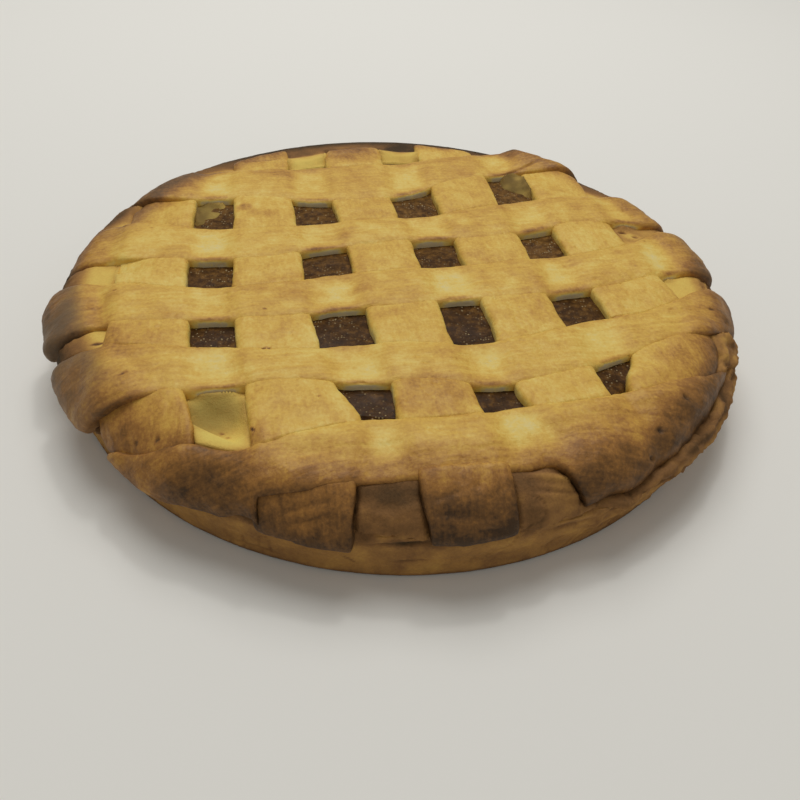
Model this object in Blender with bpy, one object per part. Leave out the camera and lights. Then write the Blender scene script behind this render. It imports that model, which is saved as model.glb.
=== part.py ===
"""Round fruit kuchen: a shallow baked dough base filled with fruit jam, under a
lattice of two crossed layers of dough strips whose ends hang over the rim.

Metres in the file that is built, millimetres in this script. The underside
lies on z = 0, centred on the Z axis. The strips that run "down" the top lie
underneath and the strips that run "across" lie on top of them.
"""
import math

import bpy
import numpy as np

MM = 0.001

# ---- the whole cake -------------------------------------------------------
FOOT_RADIUS = 114.6       # the flat underside
JAM_LEVEL = 25.4          # height of the jam, and of the dough around it
FLOOR = 10.0              # thickness of the dough under the jam
JAM_RADIUS = 83.0         # the jam stops short of the rim, in a dough border
JAM_REACH = 13.0          # how much nearer the rim it comes on one side
JAM_REACH_AT = math.radians(-38.0)
SEAM = 0.3                # clearance between neighbouring pieces
LAYER_SEAM = 0.60         # the same between the two layers of strips
TURN = math.radians(12.8)     # the lattice's turn about Z

# ---- the rim the strips are laid over -------------------------------------
SHOULDER = 103.5          # where the flat top starts to roll over
ROLL = 11.8               # radius of the roll
LEAN = 0.0                # lean of the side wall
ROLL_END = math.pi / 2 + LEAN
PRESSED = 0.28            # how much flatter the strips are on the side wall
PUFF = 4.4                # the rim's swell where no strip covers it
FLARE_AT = math.radians(-12.0)    # the side where the swell reaches further down

# ---- the materials: colour, roughness -------------------------------------
CRUST = ("baked_crust", (0.47, 0.24, 0.075), 0.62)
GOLDEN = ("golden_strip", (0.61, 0.37, 0.115), 0.50)
BROWNED = ("browned_strip", (0.50, 0.26, 0.075), 0.48)
JAM = ("fruit_jam", (0.035, 0.012, 0.007), 0.22)

# ---- the strips -----------------------------------------------------------
THICK = 4.3
END_ROUND = 6.0

# The strips underneath, left to right. "at" is the centre line's distance
# from the middle and "wide" the width, both at the places DOWN_AT. The ends
# are trimmed along the rim: "ends" is how far the near and the far end reach,
# measured from the middle over the top and down the rim. "puff" is the extra
# thickness of the two ends.
DOWN_AT = (-116.0, -71.0, -34.0, 2.0, 42.0, 112.0)
DOWN = {
    "strip_down_0": dict(at=(-87.5, -86.5, -86.0, -85.0, -82.5, -80.0),
                         wide=(22.0, 23.5, 24.0, 23.0, 24.0, 24.0),
                         ends=(121.0, 110.0), puff=(1.0, -0.8)),
    "strip_down_1": dict(at=(-45.0, -43.4, -46.2, -45.7, -43.8, -42.0),
                         wide=(20.5, 27.0, 24.0, 23.0, 23.1, 24.0),
                         ends=(121.5, 111.0), puff=(1.6, -1.2)),
    "strip_down_2": dict(at=(-2.5, -3.7, -4.6, -4.6, -4.2, -1.0),
                         wide=(23.5, 24.0, 22.2, 24.0, 23.1, 24.0),
                         ends=(119.5, 112.0), puff=(1.8, -1.5)),
    "strip_down_3": dict(at=(42.5, 34.8, 35.1, 36.0, 36.9, 40.0),
                         wide=(28.0, 25.0, 24.0, 24.0, 25.8, 25.0),
                         ends=(118.5, 112.0), puff=(1.6, -1.5)),
    "strip_down_4": dict(at=(76.0, 72.5, 75.5, 76.5, 78.0, 80.0),
                         wide=(25.0, 24.0, 23.5, 23.5, 23.0, 23.0),
                         ends=(116.0, 109.0), puff=(1.0, -1.0)),
}

# The strips on top, far to near, described the same way at the places
# ACROSS_AT. "ends" and "puff" are for the left and the right end.
ACROSS_AT = (-112.0, -64.0, -24.0, 16.0, 57.0, 104.0)
ACROSS = {
    "strip_across_1": dict(at=(70.0, 63.7, 62.5, 64.0, 72.0, 73.0),
                           wide=(21.0, 24.0, 25.0, 24.0, 22.5, 23.0),
                           ends=(112.5, 110.5), puff=(-0.8, -1.8)),
    "strip_across_2": dict(at=(26.0, 20.8, 23.1, 23.1, 28.6, 25.0),
                           wide=(26.0, 24.9, 18.5, 20.3, 25.8, 27.0),
                           ends=(115.0, 108.5), puff=(0.6, 0.3)),
    "strip_across_3": dict(at=(-14.0, -17.5, -16.2, -15.2, -13.8, -11.0),
                           wide=(24.0, 20.3, 23.1, 23.1, 25.9, 27.0),
                           ends=(121.0, 115.5), puff=(6.0, 2.4)),
    "strip_across_4": dict(at=(-46.0, -50.8, -54.5, -59.1, -53.1, -46.0),
                           wide=(26.0, 20.3, 20.3, 20.3, 23.1, 26.0),
                           ends=(121.5, 115.0), puff=(5.2, 2.2)),
    "strip_across_5": dict(at=(-80.0, -94.0, -93.5, -94.0, -92.5, -79.0),
                           wide=(24.0, 20.0, 20.0, 20.5, 22.0, 25.0),
                           ends=(121.0, 116.0), puff=(2.2, 1.4)),
}


def ease(x):
    """0 to 1, level at both ends."""
    x = np.clip(x, 0.0, 1.0)
    return x * x * (3.0 - 2.0 * x)


def between(x, places, values):
    """A smooth curve through the values at the places."""
    places = np.asarray(places, float)
    values = np.asarray(values, float)
    slopes = np.gradient(values, places)
    x = np.clip(x, places[0], places[-1])
    i = np.clip(np.searchsorted(places, x) - 1, 0, len(places) - 2)
    step = places[i + 1] - places[i]
    t = (x - places[i]) / step
    return ((2 * t**3 - 3 * t**2 + 1) * values[i] + (t**3 - 2 * t**2 + t) * step * slopes[i]
            + (3 * t**2 - 2 * t**3) * values[i + 1] + (t**3 - t**2) * step * slopes[i + 1])


def drape(u, v, lift):
    """Points of the flat lattice, lift above it, laid over the top and the rim."""
    s = np.hypot(u, v)
    lift = lift * (1.0 - PRESSED * ease((s - SHOULDER + 4.0) / 16.0))
    bend = np.clip((s - SHOULDER) / ROLL, 0.0, ROLL_END)
    past = np.maximum(s - SHOULDER - ROLL * ROLL_END, 0.0)
    r = np.minimum(s, SHOULDER) + (ROLL + lift) * np.sin(bend) - past * math.sin(LEAN)
    z = JAM_LEVEL + SEAM - ROLL + (ROLL + lift) * np.cos(bend) - past * math.cos(LEAN)
    turn = np.arctan2(v, u) + TURN
    return np.stack([r * np.cos(turn), r * np.sin(turn), z], axis=-1)


def reach(strip, along):
    """How far from the middle a strip is trimmed, blending from one end to the other."""
    return strip["ends"][0] + (strip["ends"][1] - strip["ends"][0]) * ease((along + 30.0) / 60.0)


def span(strip, places):
    """Where a strip begins and ends: its inner edge meets the trimmed circle."""
    found = []
    for sign, end in ((-1.0, strip["ends"][0]), (1.0, strip["ends"][1])):
        along = sign * end
        for _ in range(8):
            middle = float(between(np.array(along), places, strip["at"]))
            half = float(between(np.array(along), places, strip["wide"])) / 2
            inner = max(abs(middle) - half + 4.0, 0.0)
            along = sign * math.sqrt(end**2 - inner**2)
        found.append(along)
    return found


def thickness(strip, along, s):
    """Thickness of a strip at a distance s from the middle, rounded off at the trimmed end."""
    to_end = reach(strip, along) - s
    puff = strip["puff"][0] + (strip["puff"][1] - strip["puff"][0]) * ease((along + 30.0) / 60.0)
    k = np.clip(to_end / END_ROUND, 0.0, 1.0)
    return (THICK + puff * ease(1.0 - to_end / 22.0)) * (0.5 + 0.5 * np.sqrt(1.0 - (1.0 - k)**2))


def under(u, v):
    """Height the lower layer takes up below a point of the upper one."""
    s = np.hypot(u, v)
    height = np.zeros_like(u)
    for strip in DOWN.values():
        middle = between(v, DOWN_AT, strip["at"])
        half = between(v, DOWN_AT, strip["wide"]) / 2
        side = ease(1.0 - (np.abs(u - middle) - half - 1.5) / 6.5)
        end = reach(strip, v)
        past = ease(1.0 - (s - end - 0.5) / 7.0)
        thick = thickness(strip, v, np.minimum(s, end - 3.0))
        height = np.maximum(height, (thick + LAYER_SEAM) * side * past)
    return height


def ring(across):
    """Outline of a strip's section: -1..1 from side to side, 0..1 from bottom to top."""
    flat = np.linspace(-0.9, 0.9, across)
    bottom = [(x, 0.0) for x in flat[::-1]]
    top = [(x, 1.0 - 0.16 * abs(x)**3) for x in flat]
    return np.array(bottom + [(-1.0, 0.42)] + top + [(1.0, 0.42)])


def positions(low, high, fine, middle, tail=27.0):
    """Places along a strip, closer together at its two ends."""
    return np.concatenate([np.linspace(low, low + tail, fine, endpoint=False),
                           np.linspace(low + tail, high - tail, middle, endpoint=False),
                           np.linspace(high - tail, high, fine + 1)])


def strip_grid(strip, places, t, section, layer):
    """Rings of points of one strip. layer gives the height below it, at each point."""
    k = np.clip(np.minimum(t - t[0], t[-1] - t) / 3.0, 0.0, 1.0)
    middle = between(t, places, strip["at"])
    half = between(t, places, strip["wide"]) / 2 * (0.8 + 0.2 * np.sqrt(1.0 - (1.0 - k)**2))
    limit = np.sqrt(np.maximum(reach(strip, t)**2 - t**2, 4.0))
    low = np.maximum(middle - half, -limit)
    high = np.minimum(middle + half, limit)
    side = ((low + high) / 2)[:, None] + ((high - low) / 2)[:, None] * section[None, :, 0]
    along = np.repeat(t[:, None], len(section), axis=1)
    u, v = (side, along) if layer is None else (along, side)
    rise = thickness(strip, along, np.hypot(u, v)) * section[None, :, 1]
    if layer is not None:
        rise = rise + layer(u, v)
    return drape(u, v, rise)


def tube(grid, cap_low, cap_high):
    """Closed mesh from rings of points, with a fan at each end."""
    rows, cols, _ = grid.shape
    points = [tuple(p) for p in grid.reshape(-1, 3)] + [tuple(cap_low), tuple(cap_high)]
    faces = []
    for i in range(rows - 1):
        for j in range(cols):
            k = (j + 1) % cols
            faces.append((i * cols + j, i * cols + k, (i + 1) * cols + k, (i + 1) * cols + j))
    first, last = rows * cols, rows * cols + 1
    for j in range(cols):
        k = (j + 1) % cols
        faces.append((first, k, j))
        faces.append((last, (rows - 1) * cols + j, (rows - 1) * cols + k))
    return points, faces


def material(look):
    name, colour, roughness = look
    found = bpy.data.materials.get(name)
    if found is None:
        found = bpy.data.materials.new(name)
        found.use_nodes = True
        shader = found.node_tree.nodes["Principled BSDF"]
        shader.inputs["Base Color"].default_value = (*colour, 1.0)
        shader.inputs["Roughness"].default_value = roughness
        shader.inputs["Metallic"].default_value = 0.0
    return found


def add(name, points, faces, look):
    """One solid, its faces turned to look outwards."""
    p = np.array(points)
    volume = 0.0
    for face in faces:
        for n in range(1, len(face) - 1):
            volume += np.dot(p[face[0]], np.cross(p[face[n]], p[face[n + 1]]))
    if volume < 0:
        faces = [tuple(reversed(face)) for face in faces]
    mesh = bpy.data.meshes.new(name)
    mesh.from_pydata([tuple(q) for q in (p * MM)], [], faces)
    mesh.validate()
    mesh.update()
    mesh.shade_smooth()
    mesh.set_sharp_from_angle(angle=math.radians(50.0))
    mesh.materials.append(material(look))
    body = bpy.data.objects.new(name, mesh)
    bpy.context.scene.collection.objects.link(body)
    return body


def down_grid(name, fine=9, middle=12, across=5):
    t = positions(*span(DOWN[name], DOWN_AT), fine, middle)
    return strip_grid(DOWN[name], DOWN_AT, t, ring(across), None)


def across_grid(name, fine=9, middle=32, across=5):
    t = positions(*span(ACROSS[name], ACROSS_AT), fine, middle)
    return strip_grid(ACROSS[name], ACROSS_AT, t, ring(across), under)


def jam_edge(turn):
    """Radius at which the jam meets the dough border."""
    off = (turn - JAM_REACH_AT + math.pi) % (2 * math.pi) - math.pi
    return JAM_RADIUS + JAM_REACH * ease(1.0 - np.abs(off) / 0.9)


def clear_of_strips(u, v):
    """Distance in the lattice's plane from a point to the nearest strip."""
    best = np.full(np.shape(u), 99.0)
    s = np.hypot(u, v)
    for strips, places, cross, along in ((DOWN, DOWN_AT, u, v), (ACROSS, ACROSS_AT, v, u)):
        for strip in strips.values():
            side = np.abs(cross - between(along, places, strip["at"])) \
                - between(along, places, strip["wide"]) / 2
            best = np.minimum(best, np.maximum(side, s - reach(strip, along)))
    return best


def base_grid(around=124):
    """Rings of the dough base, from the middle of the underside to the middle of the floor."""
    turn = np.linspace(-math.pi, math.pi, around, endpoint=False)
    outer = ROLL - 0.35
    off = (turn - FLARE_AT + math.pi) % (2 * math.pi) - math.pi
    flare = ease(1.3 * (1.0 - np.abs(off) / 1.1))
    rows = []

    def row(r, z):
        r = np.broadcast_to(r, turn.shape)
        z = np.broadcast_to(z, turn.shape)
        rows.append(np.stack([r * np.cos(turn), r * np.sin(turn), z], axis=-1))

    row(FOOT_RADIUS - 1.2, 0.0)
    row(FOOT_RADIUS, 0.9)
    foot_free = clear_of_strips(SHOULDER * 1.2 * np.cos(turn - TURN),
                                SHOULDER * 1.2 * np.sin(turn - TURN))
    row(FOOT_RADIUS + (1.2 + 1.8 * flare) * ease((foot_free - 2.4) / 3.4), 8.5)
    for bend in (ROLL_END, 1.3, 1.0, 0.7, 0.35, 0.0):
        s = SHOULDER + ROLL * bend
        free = clear_of_strips(s * np.cos(turn - TURN), s * np.sin(turn - TURN))
        swell = PUFF * ease((free - 2.4) / 3.4) * math.sin(0.5 * math.pi * min(1.0, bend / 1.1))**3
        if bend == ROLL_END:
            swell = swell * (0.35 + 0.65 * flare)
        reach = outer + swell - 0.2 * math.sin(min(bend, math.pi / 2))
        row(SHOULDER + reach * math.sin(bend), JAM_LEVEL + SEAM - ROLL + reach * math.cos(bend))
    row(jam_edge(turn) + 1.0, JAM_LEVEL)
    row(jam_edge(turn), JAM_LEVEL - 1.0)
    row(jam_edge(turn) - 4.0, FLOOR)
    return np.array(rows)


def jam_grid(around=66):
    turn = np.linspace(-math.pi, math.pi, around, endpoint=False)
    edge = jam_edge(turn)
    rows = []
    for r, z in ((edge - 6.0, FLOOR + SEAM), (edge - 2.2, JAM_LEVEL - 1.6), (edge - 1.8, JAM_LEVEL)):
        rows.append(np.stack([r * np.cos(turn), r * np.sin(turn),
                              np.broadcast_to(z, turn.shape)], axis=-1))
    return np.array(rows)


def build():
    """Every piece, by name, as points and faces."""
    pieces = {
        "base_crust": tube(base_grid(), (0.0, 0.0, 0.0), (0.0, 0.0, FLOOR)),
        "fruit_filling": tube(jam_grid(), (0.0, 0.0, FLOOR + SEAM), (0.0, 0.0, JAM_LEVEL)),
    }
    for name in DOWN:
        # the outermost two run close to the rim, so they bend lengthwise too
        grid = down_grid(name, middle=24 if name[-1] in "04" else 11)
        pieces[name] = tube(grid, grid[0].mean(axis=0), grid[-1].mean(axis=0))
    for name in ACROSS:
        # the first and the last run along the rim, so they bend across too
        grid = across_grid(name, across=6 if name[-1] in "15" else 5)
        pieces[name] = tube(grid, grid[0].mean(axis=0), grid[-1].mean(axis=0))
    return pieces


if __name__ == "__main__":
    for leftover in list(bpy.data.objects):
        bpy.data.objects.remove(leftover, do_unlink=True)
    looks = {"base_crust": CRUST, "fruit_filling": JAM}
    for name, (points, faces) in build().items():
        add(name, points, faces, looks.get(name, BROWNED if name in ACROSS else GOLDEN))
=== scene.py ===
"""Looks of the round lattice-topped fruit kuchen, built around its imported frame.

Sizes are in millimetres up to the moment a mesh is made. The kuchen stands on
z = 0 about the Z axis, and (u, v) are flat coordinates on its top, turned with
the lattice: u runs along the upper strips and v along the lower ones.
"""
import math

import bpy
import numpy as np
from mathutils import Matrix


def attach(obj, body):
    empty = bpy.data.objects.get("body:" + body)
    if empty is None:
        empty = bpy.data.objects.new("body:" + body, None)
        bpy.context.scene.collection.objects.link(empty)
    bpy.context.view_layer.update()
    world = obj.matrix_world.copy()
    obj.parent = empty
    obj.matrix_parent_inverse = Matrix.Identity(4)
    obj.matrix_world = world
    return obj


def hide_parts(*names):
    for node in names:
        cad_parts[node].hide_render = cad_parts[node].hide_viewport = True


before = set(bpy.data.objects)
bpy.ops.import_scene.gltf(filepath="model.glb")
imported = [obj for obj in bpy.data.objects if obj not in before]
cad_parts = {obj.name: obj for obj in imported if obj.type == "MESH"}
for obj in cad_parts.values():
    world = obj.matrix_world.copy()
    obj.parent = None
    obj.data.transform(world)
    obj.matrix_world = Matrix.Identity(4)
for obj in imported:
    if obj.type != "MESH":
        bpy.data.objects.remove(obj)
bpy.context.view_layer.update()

# ---------------------------------------------------------------------------
# The base: a shallow case of baked dough with a wide border that the jam
# doesn't cover. Where no strip presses on the rim the dough has risen into a
# crumbly lip, which overhangs the tan side wall that stood against the tin.
# ---------------------------------------------------------------------------
MM = 0.001
FOOT_RADIUS = 114.6
FLOOR = 10.0                  # height of the dough under the jam
JAM_LEVEL = 25.4              # height of the jam under the strips
BED = JAM_LEVEL + 0.3         # what the lower strips lie on
SHOULDER = 103.5              # where the flat top starts to roll over the rim
ROLL = 11.8                   # radius of that roll
WALL_TOP = 13.6               # where the side wall meets the roll
WALL_LEAN = 0.9               # how much wider the wall is there than at the foot
LIP = 4.6                     # how far the risen lip stands out
LIP_END = 117.4               # where it ends, measured from the middle over the rim
BACK_PRESSED = 1.3            # how much less it stands out at the back
NEAR_AT = math.radians(-103.0)   # the near side, from the u direction, where the tabs hang
RECESS = 2.2                  # how much less it stands out between them
NEAR_SIDE_AT = math.radians(-88.0)   # middle of the paler baked stretch there
FLARE_AT = math.radians(-14.0)   # the side where the lip reaches further down
FLARE_OUT = 3.2               # how much further the wall and the lip reach there
FLARE_LIP = 2.2               # how much further still, on the near half of it
FLARE_LIP_FROM = math.radians(-8.0)
CRUMB = 0.9                   # depth of the broken edge there
RIDGE = 3.6                   # distance between the layers that show in it
BORDER_PUFF = 3.8             # how far the bare border has risen between the strips
WELLED = 1.9                  # how much further it has welled up along them
PRESSED_IN = (28.0, -110.0, 9.0, 9.5)   # (u, v) and half sizes of a place by the near end of
PRESSED_SHARE = 0.62          # the lowest upper strip where the lip has stayed lower
SUNK_IN = (-67.0, -75.5, 9.5, 8.5)   # and of the bare corner where the border has sunk
SUNK = 3.0
JAM_RADIUS = 83.0
JAM_REACH = 13.0              # how much nearer the rim the jam comes at one side
JAM_REACH_AT = math.radians(-38.0)
# where the border has crept in under the jam: direction, how far, half width in radians
CREEPS = ((math.radians(159.0), 9.0, 0.20), (math.radians(52.0), 6.5, 0.16))
# olive-brown painted over the dough: painted shade in the sunk gap, and beside two other
# gaps thin jam run over the dough with painted shade: (u, v), half sizes and strength
SMEARS_AND_SHADE = ((-67.0, -70.0, 10.0, 7.0, 0.62), (-70.0, 44.0, 12.0, 14.0, 0.92),
          (64.0, 54.0, 16.0, 14.0, 0.95))
# marks the oven and the knife left, painted shadows under the torn flaps, and painted light
# in the sunk corner: (u, v), half length and half width, turn in degrees, depth, and how
# much darker
BASE_MARKS = (
    # specks on the bare border, a broad brown place, and a paler band of painted light in the
    # lit lower part of the sunk corner
    (-99.5, -34.0, 1.7, 0.6, -5, 0.2, 0.70), (-93.0, 46.0, 9.0, 9.0, 0, 0.0, 0.30),
    (-64.5, -76.5, 0.6, 0.5, 0, 0.1, 0.45), (-62.8, -78.5, 0.7, 0.5, 0, 0.1, 0.45),
    (-68.0, -75.5, 0.5, 0.4, 0, 0.1, 0.35), (-67.0, -82.0, 9.5, 4.5, 0, 0.0, -0.19),
    # a blistered place at the right
    (97.0, 9.0, 13.0, 8.5, 0, 0.0, 0.30), (94.5, 8.0, 3.6, 2.6, -35, -0.4, -0.22),
    (92.0, 11.0, 1.7, 0.8, -20, 1.0, 0.50), (96.0, 7.5, 1.1, 0.9, -30, 0.9, 0.50),
    # torn flaps between and under the near tabs, each with the shadow under it
    (-31.5, -110.0, 3.2, 9.0, 0, 0.5, 0.0), (-22.0, -106.5, 9.0, 2.6, -4, 0.4, 0.04),
    (-24.0, -115.6, 5.5, 1.1, -8, -0.8, -0.12), (-17.0, -117.0, 3.6, 1.0, 6, -0.8, -0.12),
    (-22.0, -118.8, 9.0, 0.9, -4, 1.0, 0.22), (20.0, -106.2, 6.5, 0.9, -2, -0.7, -0.18),
    (21.0, -109.4, 7.0, 0.5, -3, 0.5, 0.10), (25.0, -117.0, 8.5, 0.9, 8, -0.8, -0.14),
    (27.0, -119.2, 8.5, 0.8, 8, 0.9, 0.18), (44.0, -111.5, 9.0, 0.7, 20, -0.6, -0.12),
    (47.0, -113.2, 9.0, 0.6, 20, 0.8, 0.16), (-38.0, -123.5, 3.0, 0.5, -55, 0.4, 0.20),
    (-20.0, -126.5, 5.0, 0.5, -6, 0.4, 0.18),
    # broad places that took more heat, or less
    (21.0, -108.5, 7.0, 7.0, 0, 0.0, -0.12), (20.0, 95.0, 8.0, 6.0, 0, 0.0, 0.36),
    (-22.0, 83.0, 8.0, 6.0, 0, 0.0, -0.14), (116.0, -44.0, 9.0, 9.0, 0, 0.0, -0.10),
)

# The base has risen where no strip lies on it, so where they lie comes first. Five strips
# are laid down the cake and five across on top of them, and the ends are pressed over the
# rim and trimmed off along it before baking.
# "along" lists places on a strip, and "low" and "high" are its two edges there. "ends" is
# how far each end reaches, measured from the middle over the top and the rim, with
# "bulges" as (place, half width, how much further), "puff" the extra thickness it has
# risen to there, "soft" how far the trimmed edge is rounded off, and "blunt" the rounding
# of its corners.
TURN = math.radians(12.8)     # the lattice's turn about Z
DOWN_ALONG = (-116.0, -97.0, -80.0, -67.0, -39.0, 0.0, 38.0, 70.0, 112.0)
DOWN = {
    "strip_down_0": dict(low=(-98.5, -98.5, -98.2, -98.0, -98.0, -97.0, -95.0, -94.0, -92.0),
                         high=(-76.5, -74.0, -71.0, -73.0, -72.5, -73.0, -70.5, -69.5, -68.0),
                         ends=(121.0, 106.5), puff=(2.4, 0.4), soft=(4.0, 6.0), blunt=(5.0, 6.0)),
    "strip_down_1": dict(low=(-61.0, -58.0, -57.0, -57.3, -58.5, -58.3, -56.5, -55.0, -54.0),
                         high=(-34.5, -29.5, -26.5, -30.8, -34.0, -34.0, -32.8, -32.0, -30.0),
                         ends=(121.5, 103.5), puff=(2.2, 1.2), soft=(2.2, 5.0), blunt=(2.0, 4.0)),
    "strip_down_2": dict(low=(-14.5, -15.5, -16.0, -16.0, -16.8, -17.2, -17.6, -16.0, -13.5),
                         high=(9.5, 9.0, 8.4, 7.8, 7.7, 7.0, 6.0, 8.0, 11.0),
                         ends=(119.5, 98.5), puff=(2.6, 1.0), soft=(2.4, 6.0), blunt=(2.0, 5.0)),
    "strip_down_3": dict(low=(35.0, 28.0, 20.7, 21.0, 22.3, 23.0, 23.6, 25.0, 27.5),
                         high=(56.5, 50.0, 47.0, 47.4, 46.3, 48.3, 49.0, 50.5, 52.5),
                         ends=(116.0, 102.5), puff=(-1.0, 1.4), soft=(4.0, 5.0), blunt=(3.0, 8.0)),
    "strip_down_4": dict(low=(63.0, 59.0, 54.0, 60.5, 62.0, 62.8, 65.3, 67.0, 68.5),
                         high=(88.5, 88.0, 88.5, 92.0, 91.0, 88.5, 89.5, 90.0, 91.5),
                         ends=(113.5, 108.0), puff=(2.6, 2.4), soft=(4.0, 5.0), blunt=(3.0, 8.0)),
}
ACROSS_ALONG = (-112.0, -90.0, -64.0, -45.0, -25.0, -5.0, 14.0, 34.0, 56.0, 76.0, 90.0, 104.0)
ACROSS = {
    "strip_across_1": dict(low=(59.5, 55.0, 50.5, 50.3, 44.8, 44.0, 46.8, 56.0, 60.0, 62.5, 62.0, 61.5),
                           high=(82.5, 80.5, 78.0, 76.0, 75.0, 75.3, 76.0, 79.0, 83.2, 84.5, 84.5,
                                 84.5),
                           ends=(112.5, 112.5), puff=(0.4, 3.2), soft=(5.0, 6.0), blunt=(6.0, 5.0)),
    "strip_across_2": dict(low=(12.0, 9.0, 5.0, 4.3, 8.5, 8.7, 10.2, 8.4, 11.5, 15.5, 14.5, 13.0),
                           high=(39.0, 35.0, 28.5, 26.3, 27.0, 29.3, 27.5, 32.0, 36.5, 37.5, 37.5,
                                 38.5),
                           ends=(115.0, 112.0), puff=(1.8, 2.6), soft=(4.0, 5.0), blunt=(6.0, 6.0)),
    "strip_across_3": dict(low=(-26.5, -28.7, -30.8, -32.3, -30.8, -31.0, -29.5, -30.8, -30.0, -27.8,
                                -24.7, -21.5),
                           high=(0.0, -6.0, -11.5, -11.5, -9.0, -8.2, -8.6, -8.0, -6.3, -4.2, -0.5,
                                 7.5),
                           ends=(121.0, 117.0), puff=(7.4, 5.6), soft=(6.5, 7.0), blunt=(9.0, 8.0)),
    "strip_across_4": dict(low=(-60.0, -62.5, -64.0, -64.0, -67.5, -69.5, -74.0, -72.5, -67.3, -61.0,
                                -57.0, -50.0),
                           high=(-35.0, -39.5, -44.5, -47.8, -48.8, -50.0, -53.0, -51.0, -45.8,
                                 -43.5, -38.5, -31.0),
                           ends=(121.5, 118.5), puff=(6.6, 6.0), soft=(6.5, 4.0), blunt=(9.0, 3.0)),
    "strip_across_5": dict(low=(-110.0, -110.0, -110.0, -110.0, -110.0, -110.0, -99.0, -98.8, -99.8,
                                -102.3, -104.2, -105.0, -105.6, -113.0, -118.0, -118.0, -118.0,
                                -118.0, -118.0),
                           high=(-66.0, -72.0, -77.5, -81.5, -86.0, -86.4, -86.6, -86.6, -84.8,
                                 -82.5, -84.2, -83.8, -83.7, -83.5, -83.2, -81.5, -78.5, -72.0,
                                 -58.0),
                           along=(-112.0, -94.0, -84.0, -70.0, -60.0, -57.6, -55.4, -53.8, -46.0,
                                  -30.0, -6.0, 15.0, 25.0, 30.0, 37.0, 54.0, 70.0, 84.0, 104.0),
                           ends=(121.0, 117.5), puff=(2.6, 1.8), soft=(4.5, 5.0), blunt=(5.0, 5.0),
                           bulges=((-88.0, 16.0, 3.2), (-60.0, 9.0, -2.6), (46.0, 9.0, 1.5))),
}
for strip in DOWN.values():
    strip.setdefault("along", DOWN_ALONG)
for strip in ACROSS.values():
    strip.setdefault("along", ACROSS_ALONG)


def ease(x):
    """0 to 1 with level ends: 3x^2 - 2x^3 of x held between 0 and 1."""
    x = np.clip(x, 0.0, 1.0)
    return x * x * (3.0 - 2.0 * x)


def between(x, places, values):
    """Smooth curve through the values: a cubic per gap, with the slopes of the points around it."""
    places = np.asarray(places, float)
    values = np.asarray(values, float)
    slopes = np.gradient(values, places)
    x = np.clip(x, places[0], places[-1])
    i = np.clip(np.searchsorted(places, x) - 1, 0, len(places) - 2)
    step = places[i + 1] - places[i]
    t = (x - places[i]) / step
    return ((2 * t**3 - 3 * t**2 + 1) * values[i] + (t**3 - 2 * t**2 + t) * step * slopes[i]
            + (3 * t**2 - 2 * t**3) * values[i + 1] + (t**3 - t**2) * step * slopes[i + 1])


def reach(strip, along):
    """How far from the middle a strip is trimmed, blended from one end to the other, and a
    little further or less where it bulges."""
    trimmed = strip["ends"][0] + (strip["ends"][1] - strip["ends"][0]) * ease((along + 30.0) / 60.0)
    for at, wide, more in strip.get("bulges", ()):
        trimmed = trimmed + more * ease(1.0 - np.abs(along - at) / wide)
    return trimmed


def outside(strips, cross, along, s):
    """Distance from a flat point to the nearest of the strips, negative inside one."""
    best = np.full(np.shape(cross), 99.0)
    for strip in strips.values():
        side = np.maximum(between(along, strip["along"], strip["low"]) - cross,
                          cross - between(along, strip["along"], strip["high"]))
        best = np.minimum(best, np.maximum(side, s - reach(strip, along)))
    return best


def free_of_strips(u, v, s):
    """Distance from a flat point to the nearest strip of either layer."""
    return np.minimum(outside(DOWN, u, v, s), outside(ACROSS, v, u, s))


def towards(turn, at, half, gain=1.6):
    """1 in the direction at, easing to 0 at half to either side of it, in radians; a gain
    over 1 widens the level part."""
    off = (turn - at + math.pi) % (2 * math.pi) - math.pi
    return ease(gain * (1.0 - np.abs(off) / half))


def patch(u, v, at_u, at_v, wide, deep):
    """About 1 in an ellipse and 0 outside it: exp(-d^4), d being the distance from its
    middle in units of its half sizes."""
    return np.exp(-(((u - at_u) / wide)**2 + ((v - at_v) / deep)**2)**2)


def humps(points, size, seed):
    """Smooth random heights, -1 to 1, about size apart: a number is hashed for each corner
    of a cubic lattice, and a point blends the eight corners of its cell."""
    q = points / size + 1000.0
    cell = np.floor(q).astype(np.int64)
    f = q - cell
    f = f * f * (3.0 - 2.0 * f)
    total = np.zeros(q.shape[:-1])
    for dx in (0, 1):
        for dy in (0, 1):
            for dz in (0, 1):
                key = ((cell[..., 0] + dx) * 73856093 ^ (cell[..., 1] + dy) * 19349663
                       ^ (cell[..., 2] + dz) * 83492791 ^ seed * 265443) & 0xFFFFFFFF
                key = ((key ^ (key >> 13)) * 1274126177) & 0xFFFFFFFF
                key = ((key ^ (key >> 15)) * 668265263) & 0xFFFFFFFF
                value = ((key >> 8) & 0xFFFF) / 32767.5 - 1.0
                total += value * np.abs(1 - dx - f[..., 0]) * np.abs(1 - dy - f[..., 1]) \
                    * np.abs(1 - dz - f[..., 2])
    return total


def rough(points, size, seed, octaves=3):
    """Humps on humps: each layer half the size and half the height of the one before."""
    total, height = 0.0, 1.0
    for n in range(octaves):
        total = total + height * humps(points, size / 2**n, seed + 17 * n)
        height *= 0.5
    return total


def outwards(grid, around):
    """Unit normals of a grid of points, from the directions of its rows and columns;
    around says that the columns close into a ring."""
    if around:
        wide = np.concatenate([grid[:, -1:], grid, grid[:, :1]], axis=1)
        across = wide[:, 2:] - wide[:, :-2]
    else:
        across = np.gradient(grid, axis=1)
    n = np.cross(np.gradient(grid, axis=0), across)
    return n / np.maximum(np.linalg.norm(n, axis=-1, keepdims=True), 1e-9)


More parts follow.
